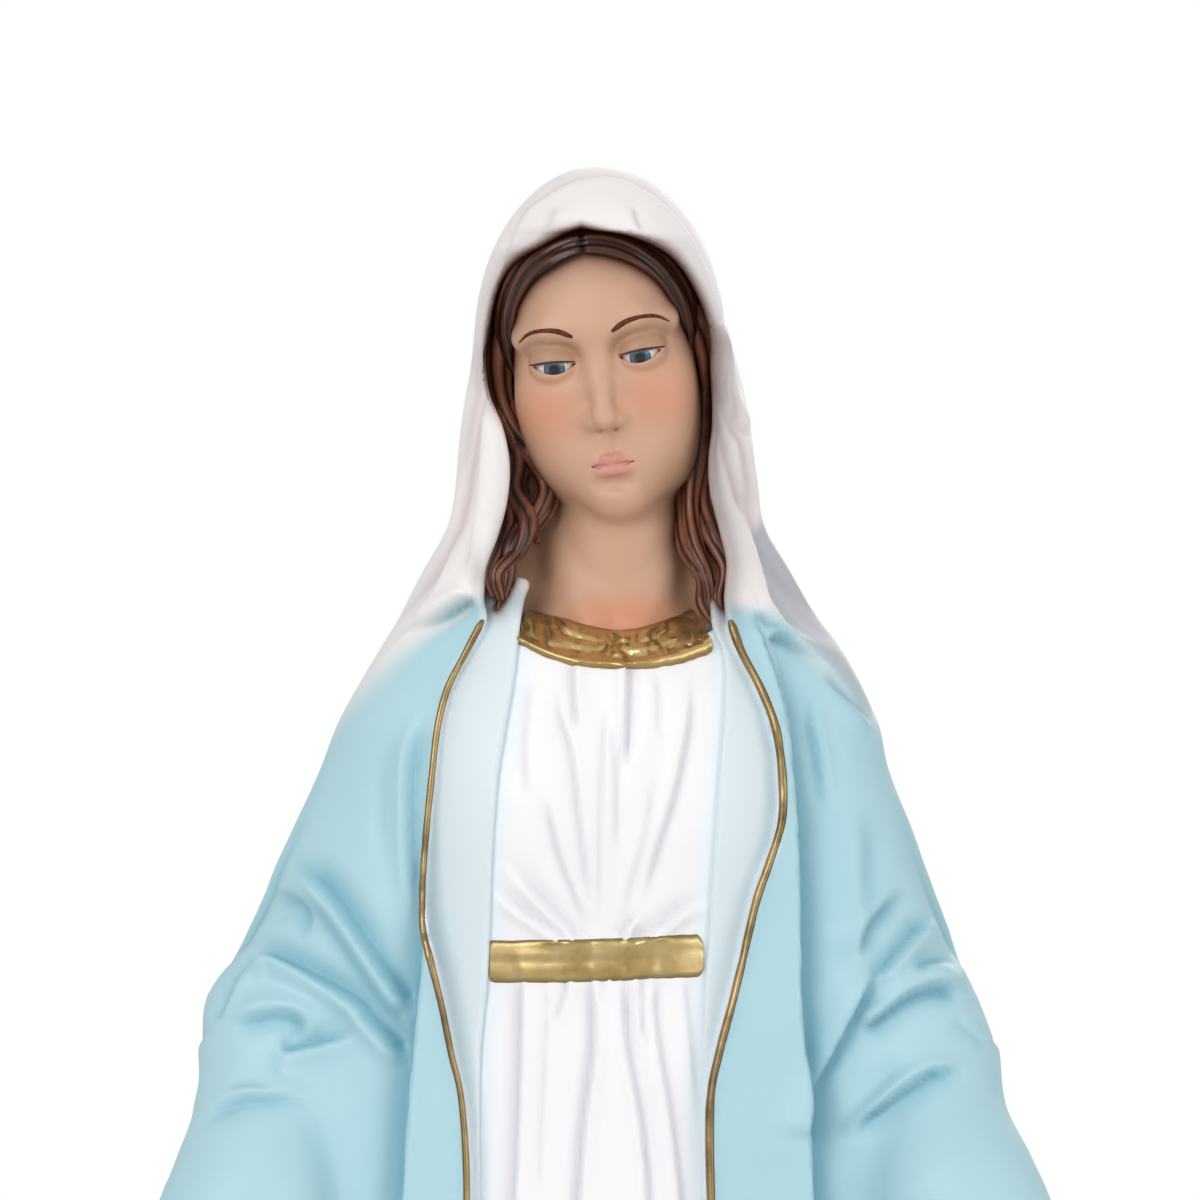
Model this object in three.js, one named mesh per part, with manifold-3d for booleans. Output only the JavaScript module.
// A standing devotional figure of a veiled woman with lowered, open hands, on a globe and an octagonal plinth.
// It is a set of hollow and solid resin castings threaded on one steel armature rod.
// Millimetres, +Z up. The figure faces -Y, and the origin is the centre of the underside.
import * as THREE from "three";
import { mergeVertices } from "three/addons/utils/BufferGeometryUtils.js";
import Module from "manifold-3d";

const wasm = await Module();
wasm.setup();

// Driving dimensions.
const GAP = 0.35; // clearance between neighbouring castings
const WALL = 5; // thickness of the hollow gown casting
const VEIL_WALL = 4.5; // thickness of the veil
const RELIEF = 1.8; // how far the gilded bands stand proud
const PLINTH = { radius: 114, top: 34, recess: 96, felt: 1.8, board: 11.7 };
const GLOBE = { radius: 84, height: 26, wall: 8 };
const ROD = { radius: 4, y: 6, bottom: 2.4, top: 690 };
const NUT = { radius: 7.5, bottom: 2.6, top: 6.7 };
const WASHER = { radius: 12, bottom: 7, top: 8.3 };
const NUT_POCKET = { radius: 15, top: 8.6 }; // room in the base board for the nut and its washer
const SCREW = { ring: 84, headRadius: 3.4, headHeight: 2.2, sunk: 0.6, shankRadius: 1.7, tip: 24 };
const SPACERS = {
  upper: { radius: 27, bottom: 520, top: 532 },
  lower: { radius: 42, bottom: 240, top: 254 },
};
const DOWEL_RADIUS = 2.5;
const CUFF_RADIUS = 13;
const TRIM = { width: 4.4, inset: 3 }; // a gilded band and its distance from the mantle's edge
const HEAD = { centre: new THREE.Vector3(-0.5, 2, 748), pitch: 12, roll: -8, yaw: -5 };
const WRIST = new THREE.Vector3(133, -60, 450);
const SLEEVE_END = new THREE.Vector3(128, -50, 464);
const ELBOW = new THREE.Vector3(99, -4, 522);
const HAND_AIM = new THREE.Vector3(24, -26, -66); // from the left wrist to its finger tips
const PALM_AIM = new THREE.Vector3(0, -0.92, 0.4); // the way both palms are turned

// Sections of the two draped castings: height, half width, half depth, centre x, centre y.
const GOWN = [
  [96, 80, 68, 0, -2],
  [130, 76, 63, 0, -2],
  [200, 69, 56, 0, -1],
  [300, 63, 50, 0, 0],
  [400, 58, 46, 0, 0],
  [470, 54, 42, 0, 0],
  [530, 44, 35, 0, -1],
  [565, 41, 33, 0, -2],
  [605, 48, 38, 0, -3],
  [640, 48, 30, 0, 1],
  [664, 30, 22, 1, 4],
];
const MANTLE = [
  [114, 94, 76, 0, 6],
  [180, 92, 73, 0, 6],
  [280, 93, 68, 0, 6],
  [350, 99, 64, 0, 6],
  [400, 109, 61, 0, 5],
  [450, 119, 58, 0, 4],
  [514, 121, 55, 0, 3],
  [560, 112, 53, 0, 2],
  [600, 93, 51, 0, 2],
  [635, 80, 48, 0, 3],
  [655, 66, 42, 0, 6],
  [672, 46, 34, 0, 8],
];
const VEIL = [
  [644, 62, 42, 0, 14],
  [671, 57, 42, 0, 12],
  [692, 47, 46, 0, 9],
  [721, 43.5, 50, 0, 6],
  [748, 39, 51, -1.5, 4],
];

// The edges of the mantle's front opening, from the neck down to the hem.
const OPENING = {
  left: [
    [39, 666], [50, 633], [52.5, 612], [44, 580], [38, 556],
    [30.5, 514], [38, 400], [50, 250], [62, 108],
  ],
  right: [
    [-39, 666], [-49, 636], [-53.5, 600], [-53.5, 574], [-49, 556],
    [-41, 514], [-44, 400], [-53, 250], [-63, 108],
  ],
};

// Outlines seen from the front, in x and z.
const GIRDLE_OUTLINE = [[-36, 559], [-36, 571.5], [32, 571.5], [32, 559]];
const COLLAR_OUTLINE = [
  [-27, 668], [-16, 663.5], [0, 661], [8, 661], [20, 664], [30, 669],
  [33, 661], [28, 652.5], [14, 650], [0, 650.5], [-18, 653], [-28, 657],
];
const HAIR_WINDOW = [
  [-25, 762], [-14, 779], [0, 784], [14, 778], [25, 762],
  [27, 740], [24, 712], [0, 690], [-22, 712], [-26, 740],
];
const WINDOW_BACK = -8; // the windows in the hair and the hood are cut forward of this y
const HOOD_WINDOW = [
  [-29, 768], [-16, 783], [0, 787], [16, 782], [29, 766], [34, 735],
  [35, 690], [38, 640], [-38, 640], [-36, 690], [-34, 735],
];

const resin = (color, roughness = 0.5) => new THREE.MeshStandardMaterial({ color, roughness });
const metal = (color, roughness) => new THREE.MeshStandardMaterial({ color, roughness, metalness: 1 });
const white = resin(0xf4eff0);
const blue = resin(0xa9d6e0);
const flesh = resin(0xd9b49c);
const brown = resin(0x3b2018, 0.4);
const ivory = resin(0xe9e2d2);
const sky = resin(0x86b6cf, 0.35);
const green = resin(0x4f6b35, 0.35);
const glass = resin(0x3f6f9c, 0.05);
const gold = metal(0xb98c3a, 0.35);
const steel = metal(0xb8b8b8, 0.3);
const wood = resin(0xb08a5a, 0.7);
const felt = resin(0x2f4f3a, 0.95);

// A closed three.js geometry as a solid that can be cut and joined.
function toSolid(geometry) {
  const bare = new THREE.BufferGeometry().setAttribute("position", geometry.getAttribute("position"));
  if (geometry.index) bare.setIndex(geometry.index);
  const merged = mergeVertices(bare, 1e-4);
  const mesh = new wasm.Mesh({
    numProp: 3,
    vertProperties: new Float32Array(merged.attributes.position.array),
    triVerts: new Uint32Array(merged.index.array),
  });
  mesh.merge();
  return new wasm.Manifold(mesh);
}

function toGeometry(solid) {
  const mesh = solid.getMesh();
  const geometry = new THREE.BufferGeometry()
    .setAttribute("position", new THREE.BufferAttribute(mesh.vertProperties, 3))
    .setIndex(new THREE.BufferAttribute(mesh.triVerts, 1));
  geometry.computeVertexNormals();
  return geometry;
}

const join = (first, ...rest) => rest.reduce((made, one) => made.add(one), first);
const cut = (first, ...rest) => rest.reduce((made, one) => made.subtract(one), first);

// Drops the crumbs that a cut leaves, keeping the largest body.
const largest = (solid) => solid.decompose().sort((a, b) => b.volume() - a.volume())[0];

const group = new THREE.Group();

function place(name, solid, material) {
  const mesh = new THREE.Mesh(toGeometry(largest(solid)), material);
  mesh.name = name;
  group.add(mesh);
}

// The values of a section table at height z, on a smooth curve through the rows.
function sectionAt(table, z) {
  const last = table.length - 1;
  let i = 0;
  while (i < last - 1 && z > table[i + 1][0]) i += 1;
  const [a, b] = [table[i], table[i + 1]];
  const before = table[Math.max(i - 1, 0)];
  const after = table[Math.min(i + 2, last)];
  const span = b[0] - a[0];
  const t = THREE.MathUtils.clamp((z - a[0]) / span, 0, 1);
  return a.map((from, k) => {
    const slopeA = ((b[k] - before[k]) / (b[0] - before[0])) * span;
    const slopeB = ((after[k] - from) / (after[0] - a[0])) * span;
    const [t2, t3] = [t * t, t * t * t];
    return (2 * t3 - 3 * t2 + 1) * from + (t3 - 2 * t2 + t) * slopeA
      + (3 * t2 - 2 * t3) * b[k] + (t3 - t2) * slopeB;
  });
}

// A solid that rises through the elliptical sections of a table.
function loft(table, { sides = 28, rows = 12, grow = 0, from = table[0][0], to = table.at(-1)[0] } = {}) {
  const geometry = new THREE.CylinderGeometry(1, 1, 1, sides, rows).rotateX(Math.PI / 2);
  const at = geometry.getAttribute("position");
  for (let i = 0; i < at.count; i += 1) {
    const z = THREE.MathUtils.lerp(from, to, at.getZ(i) + 0.5);
    const [, halfWidth, halfDepth, cx, cy] = sectionAt(table, z);
    const end = at.getZ(i) * 2;
    at.setXYZ(
      i,
      cx + at.getX(i) * (halfWidth + grow),
      cy + at.getY(i) * (halfDepth + grow),
      z + (Math.abs(end) > 0.999 ? end * grow : 0),
    );
  }
  return toSolid(geometry);
}

// A round limb that follows points, with a radius at each.
function limb(points, radii, { sides = 12, rows = 10, grow = 0 } = {}) {
  const path = new THREE.CatmullRomCurve3(points);
  const frames = path.computeFrenetFrames(rows);
  const geometry = new THREE.CylinderGeometry(1, 1, 1, sides, rows).rotateX(Math.PI / 2);
  const at = geometry.getAttribute("position");
  for (let i = 0; i < at.count; i += 1) {
    const t = at.getZ(i) + 0.5;
    const row = Math.round(t * rows);
    const share = t * (radii.length - 1);
    const k = Math.min(Math.floor(share), radii.length - 2);
    const radius = THREE.MathUtils.lerp(radii[k], radii[k + 1], share - k) + grow;
    const point = path.getPointAt(t)
      .addScaledVector(frames.normals[row], at.getX(i) * radius)
      .addScaledVector(frames.binormals[row], at.getY(i) * radius);
    if (row === 0) point.addScaledVector(frames.tangents[0], -grow);
    if (row === rows) point.addScaledVector(frames.tangents[rows], grow);
    at.setXYZ(i, point.x, point.y, point.z);
  }
  return toSolid(geometry);
}

function ball(x, y, z, rx, ry, rz, { grow = 0, sides = 20, rows = 10, matrix = null } = {}) {
  const geometry = new THREE.SphereGeometry(1, sides, rows).rotateX(Math.PI / 2);
  geometry.scale(rx + grow, ry + grow, rz + grow).translate(x, y, z);
  if (matrix) geometry.applyMatrix4(matrix);
  return toSolid(geometry);
}

function box(x0, y0, z0, x1, y1, z1) {
  const geometry = new THREE.BoxGeometry(x1 - x0, y1 - y0, z1 - z0);
  return toSolid(geometry.translate((x0 + x1) / 2, (y0 + y1) / 2, (z0 + z1) / 2));
}

function rod(x, y, bottom, top, radius, sides = 20) {
  const geometry = new THREE.CylinderGeometry(radius, radius, top - bottom, sides).rotateX(Math.PI / 2);
  return toSolid(geometry.translate(x, y, (bottom + top) / 2));
}

// A shape drawn as seen from the front, in x and z, and pushed from y = back to the front.
function fromFront(points, back = 0, depth = 160) {
  const shape = new THREE.Shape(points.map(([x, z]) => new THREE.Vector2(x, z)));
  const geometry = new THREE.ExtrudeGeometry(shape, { depth, bevelEnabled: false });
  return toSolid(geometry.rotateX(Math.PI / 2).translate(0, back, 0));
}

// A strip of the given width along a line of points seen from the front.
function strip(points, width) {
  const line = new THREE.SplineCurve(points.map(([x, z]) => new THREE.Vector2(x, z)));
  const steps = 14;
  const side = (sign) => Array.from({ length: steps + 1 }, (_, i) => {
    const p = line.getPoint(i / steps);
    const along = line.getTangent(i / steps);
    return [p.x - along.y * sign * width / 2, p.y + along.x * sign * width / 2];
  });
  return fromFront([...side(1), ...side(-1).reverse()]);
}

// The head's own frame: looking along -Y, upright, centred half way from chin to crown.
const headMatrix = new THREE.Matrix4()
  .makeRotationZ(THREE.MathUtils.degToRad(HEAD.yaw))
  .multiply(new THREE.Matrix4().makeRotationY(THREE.MathUtils.degToRad(HEAD.roll)))
  .multiply(new THREE.Matrix4().makeRotationX(THREE.MathUtils.degToRad(HEAD.pitch)))
  .setPosition(HEAD.centre);

const gownOuter = (grow, detail = {}) => loft(GOWN, { grow, ...detail });

function head(grow) {
  const inHead = { grow, matrix: headMatrix };
  const neck = limb(
    [new THREE.Vector3(1, 6, 640), new THREE.Vector3(1, 6, 668), new THREE.Vector3(2, 5, 712)],
    [25, 19, 18],
    { grow, sides: 14, rows: 3 },
  );
  return join(
    ball(0, 8, 12, 31.5, 38, 36, inHead),
    ball(0, -7, -12, 27, 29, 36, inHead),
    ball(0, -33, -14, 5, 9, 8, { ...inHead, sides: 12, rows: 8 }),
    neck,
  );
}

function eye(side, grow) {
  const radius = 5.6;
  const detail = { grow, matrix: headMatrix, sides: 12, rows: 8 };
  return ball(side * 12.8, -27.5, 0.5, radius, radius, radius, detail);
}

// One half of the hair: a cap beside the parting and a lock that falls to the shoulder.
function hair(side, grow) {
  const cap = ball(0, 3, 10, 33.2, 37, 37, { grow, matrix: headMatrix });
  const parting = side * (0.2 - grow);
  const half = side > 0 ? box(-60, -90, 600, parting, 90, 830) : box(parting, -90, 600, 60, 90, 830);
  const lock = limb(
    [
      new THREE.Vector3(side * 24 - 2, 2, 752),
      new THREE.Vector3(side * 27 - 1, -6, 722),
      new THREE.Vector3(side * 28, -16, 692),
      new THREE.Vector3(side * 30, -25, 666),
    ],
    [7, 8.5, 8, 4],
    { grow, sides: 10, rows: 8 },
  );
  return join(cut(cap, half), lock);
}

function veilOuter(grow) {
  return join(
    loft(VEIL, { grow, rows: 6 }),
    ball(-1.5, 4, 747.5, 39.2, 51, 52, { grow, sides: 28, rows: 14 }),
  );
}

const mirrored = (point, side) => new THREE.Vector3(point.x * side, point.y, point.z);

// The mantle's bell with the two fore-arm lobes that the cloth falls over.
function mantleOuter(grow) {
  const lobe = (side) => limb(
    [
      new THREE.Vector3(side * 92, 0, 560),
      mirrored(ELBOW, side),
      new THREE.Vector3(side * 114, -26, 492),
      mirrored(SLEEVE_END, side),
    ],
    [16, 23, 24, 20],
    { grow, sides: 12, rows: 6 },
  );
  return join(loft(MANTLE, { grow, sides: 36, rows: 16 }), lobe(1), lobe(-1));
}

const opening = fromFront([...OPENING.left, ...[...OPENING.right].reverse(), [0, 700]]);

const cuff = (side, grow) => limb(
  [
    new THREE.Vector3(side * 122, -40, 478),
    mirrored(SLEEVE_END, side).lerp(mirrored(WRIST, side), 0.4),
    mirrored(WRIST, side),
  ],
  [CUFF_RADIUS, CUFF_RADIUS + 1, CUFF_RADIUS],
  { grow, sides: 14, rows: 3 },
);

// A hand hanging palm forward: x towards the thumb, y out of the palm, z towards the finger tips.
const FINGERS = [
  { root: [9, 0, 31], tip: [14, 1, 62], radius: 3.6 },
  { root: [3, 0, 33], tip: [4.5, 2, 67], radius: 3.8 },
  { root: [-3.4, 0, 32], tip: [-4.5, 4, 63], radius: 3.6 },
  { root: [-9.2, 0, 29], tip: [-13, 6, 53], radius: 3.2 },
  { root: [10, 2, 12], tip: [25, 9, 36], radius: 4.2 },
];

function hand(side, grow) {
  const along = mirrored(HAND_AIM, side).normalize();
  const palm = PALM_AIM.clone().addScaledVector(along, -along.dot(PALM_AIM)).normalize();
  const thumb = new THREE.Vector3().crossVectors(palm, along).multiplyScalar(-side).normalize();
  const start = mirrored(WRIST, side);
  const point = ([x, y, z]) => start.clone()
    .addScaledVector(thumb, x * Math.sign(thumb.x * side))
    .addScaledVector(palm, y)
    .addScaledVector(along, z);
  const detail = { grow, sides: 6, rows: 4 };
  const rays = FINGERS.map(({ root, tip, radius }) => limb(
    [point([root[0] * 0.45, 0, 4]), point(root), point(tip)],
    [7, radius + 1.2, radius, radius * 0.8],
    { ...detail, rows: 5 },
  ));
  const wrist = limb([point([0, 0, -16]), point([0, 0, -4]), point([0, 0, 10])], [8.5, 8, 9], detail);
  return join(wrist, ...rays);
}

const globeBall = (radius, detail) => ball(0, 0, GLOBE.height, radius, radius, radius, detail);
const globeOuter = (grow) => globeBall(GLOBE.radius, { grow, sides: 32, rows: 18 });

const foot = (side, grow) => limb(
  [
    new THREE.Vector3(side * 20, -40, 116),
    new THREE.Vector3(side * 23, -62, 112),
    new THREE.Vector3(side * 26, -84, 101),
  ],
  [12, 12, 9],
  { grow, sides: 12, rows: 6 },
);

// The serpent lies low round the globe, resting on it, and its head comes up in front.
function serpent(grow) {
  const turns = 1.25;
  const steps = 18;
  const start = Math.PI * 0.1;
  const stations = Array.from({ length: steps + 1 }, (_, i) => i / steps);
  const bodyRadius = (t) => 2 + 5 * Math.min(1, 5 * t) + 1.5 * Math.exp(-(((t - 0.97) / 0.03) ** 2));
  const points = stations.map((t) => {
    const angle = start - t * turns * 2 * Math.PI;
    const height = 44 + 30 * t;
    const reach = GLOBE.radius + bodyRadius(t) + 2 * GAP;
    const ring = Math.sqrt(reach ** 2 - (height - GLOBE.height) ** 2);
    return new THREE.Vector3(Math.cos(angle) * ring, Math.sin(angle) * ring, height);
  });
  return limb(points, stations.map(bodyRadius), { grow, sides: 8, rows: 30 });
}

const rodHole = rod(0, ROD.y, 0, ROD.top + GAP, ROD.radius + GAP);
const bothSides = [1, -1]; // the figure's own left is on +X
const named = (side) => (side > 0 ? "left" : "right");

// Eight flat sides round the vertical axis, from a profile of radius and height.
function octagonal(profile) {
  const outline = profile.map(([radius, z]) => new THREE.Vector2(radius, z));
  return toSolid(new THREE.LatheGeometry(outline, 8, Math.PI / 8).rotateX(Math.PI / 2));
}

const octagon = (radius, bottom, top) => octagonal([[0, bottom], [radius, bottom], [radius, top], [0, top]]);

// Base, from the shelf up. The plinth's waist steps in between a foot moulding and a top moulding.
const footRadius = PLINTH.radius;
const [mouldingRadius, waistRadius] = [PLINTH.radius - 4, PLINTH.radius - 7];
const plinthBody = octagonal([
  [0, PLINTH.board + GAP],
  [PLINTH.recess, PLINTH.board + GAP],
  [PLINTH.recess, PLINTH.felt + GAP],
  [footRadius, PLINTH.felt + GAP],
  [footRadius, 11],
  [mouldingRadius, 14],
  [waistRadius, 16],
  [waistRadius, 26],
  [mouldingRadius, 29],
  [mouldingRadius, PLINTH.top],
  [0, PLINTH.top],
]);
const screws = [45, 135, 225, 315].map((angle) => {
  const turn = angle * Math.PI / 180;
  const [x, y] = [Math.cos(turn) * SCREW.ring, Math.sin(turn) * SCREW.ring];
  const headBottom = PLINTH.felt + SCREW.sunk;
  return (grow) => join(
    rod(x, y, headBottom - grow, headBottom + SCREW.headHeight + grow, SCREW.headRadius + grow, 10),
    rod(x, y, headBottom + SCREW.headHeight / 2, SCREW.tip + grow, SCREW.shankRadius + grow, 6),
  );
});
const board = cut(
  octagon(PLINTH.recess - 2 * GAP, PLINTH.felt + GAP, PLINTH.board),
  rod(0, ROD.y, 0, NUT_POCKET.top, NUT_POCKET.radius),
  rodHole,
);
place("felt_pad", octagon(PLINTH.radius - 1, 0, PLINTH.felt), felt);
place("base_board", cut(board, ...screws.map((screw) => screw(GAP))), wood);
place("plinth", cut(plinthBody, rodHole, ...screws.map((screw) => screw(GAP))), ivory);
screws.forEach((screw, i) => place(`base_screw_${i + 1}`, screw(0), steel));
place("rod_washer", cut(rod(0, ROD.y, WASHER.bottom, WASHER.top, WASHER.radius, 24), rodHole), steel);
place("rod_nut", cut(rod(0, ROD.y, NUT.bottom, NUT.top, NUT.radius, 6), rodHole), steel);
place("armature_rod", rod(0, ROD.y, ROD.bottom, ROD.top, ROD.radius), steel);

// Globe, with a solid core round the rod.
const belowGlobe = box(-120, -120, -90, 120, 120, PLINTH.top + GAP);
const globeSolid = cut(globeOuter(0), belowGlobe, rodHole);
const globeCore = rod(0, ROD.y, 0, 130, 14, 12);
const globeHollow = cut(globeBall(GLOBE.radius - GLOBE.wall, { sides: 16, rows: 10 }), globeCore);
place("globe", cut(globeSolid, globeHollow), sky);

// Feet, gown, serpent and the gilded bands of the gown.
const feet = bothSides.map((side) => (grow) => foot(side, grow));
const gownInner = loft(GOWN, { grow: -WALL, sides: 20, rows: 8, from: 90, to: 632 });
const gown = cut(
  gownOuter(0), gownInner, rodHole, globeOuter(GAP), head(GAP),
  ...feet.map((one) => one(GAP)),
);
place("gown", gown, white);
const behindToes = box(-60, -39, 90, 60, 0, 140);
bothSides.forEach((side, i) => {
  place(`foot_${named(side)}`, cut(feet[i](0), globeOuter(GAP), gownInner, behindToes), flesh);
});
place("serpent", cut(serpent(0), gownOuter(GAP), ...feet.map((one) => one(GAP))), green);
Object.entries(SPACERS).forEach(([name, { radius, bottom, top }]) => {
  place(`rod_spacer_${name}`, cut(rod(0, 0, bottom, top, radius, 24), rodHole), wood);
});

const gownRelief = cut(gownOuter(RELIEF), gownOuter(GAP));
const neckRelief = cut(join(gownOuter(RELIEF), head(RELIEF)), gownOuter(GAP));
const girdle = cut(fromFront(GIRDLE_OUTLINE).intersect(gownRelief), head(GAP));
const collar = cut(fromFront(COLLAR_OUTLINE).intersect(neckRelief), head(GAP));

// Arms, mantle and its gilded edges.
const cuffs = bothSides.map((side) => (grow) => cuff(side, grow));
const dowels = bothSides.map((side) => (grow) => limb(
  [
    new THREE.Vector3(side * 116, -34, 492),
    mirrored(WRIST, side),
    mirrored(WRIST, side).add(new THREE.Vector3(side * 5, -6, -15)),
  ],
  [DOWEL_RADIUS, DOWEL_RADIUS, DOWEL_RADIUS],
  { grow, sides: 10, rows: 4 },
));
bothSides.forEach((side, i) => {
  place(`hand_dowel_${named(side)}`, dowels[i](0), steel);
  place(`hand_${named(side)}`, cut(hand(side, 0), dowels[i](GAP)), flesh);
  place(`cuff_${named(side)}`, cut(cuffs[i](0), hand(side, GAP), dowels[i](GAP)), white);
});
const hairs = bothSides.map((side) => (grow) => hair(side, grow));
const mantle = cut(
  mantleOuter(0), opening, gownOuter(GAP), head(GAP),
  ...[...hairs, ...cuffs, ...dowels].map((one) => one(GAP)),
);
place("mantle", mantle, blue);
const openMantle = cut(mantleOuter(GAP), opening);
place("girdle", cut(girdle, openMantle), gold);
place("collar", cut(collar, openMantle, ...hairs.map((one) => one(GAP))), gold);
const mantleRelief = cut(mantleOuter(RELIEF), mantleOuter(GAP));
const trimEnds = { drop: 2, bottom: 118 };
bothSides.forEach((side, i) => {
  const line = OPENING[named(side)].map(([x, z]) => [
    x + side * TRIM.inset,
    Math.max(z - trimEnds.drop, trimEnds.bottom),
  ]);
  const band = strip(line, TRIM.width).intersect(mantleRelief);
  place(`mantle_trim_${named(side)}`, cut(band, hairs[i](GAP)), gold);
});

// Head, eyes, hair and veil.
const eyes = bothSides.map((side) => (grow) => eye(side, grow));
place("head", cut(head(0), rodHole, ...eyes.map((one) => one(GAP))), flesh);
eyes.forEach((one, i) => place(`eye_${named(bothSides[i])}`, one(0), glass));
const veilInner = (grow) => veilOuter(grow - VEIL_WALL);
const faceHole = fromFront(HAIR_WINDOW, WINDOW_BACK);
hairs.forEach((one, i) => {
  const fitted = cut(one(0), head(GAP), gownOuter(GAP), faceHole, collar);
  place(`hair_${named(bothSides[i])}`, fitted.intersect(veilInner(-GAP)), brown);
});
const hood = fromFront(HOOD_WINDOW, WINDOW_BACK);
const shoulders = mantleOuter(RELIEF + GAP);
place("veil", cut(veilOuter(0), veilInner(0), hood, head(GAP), gownOuter(GAP), shoulders), white);

export default group;
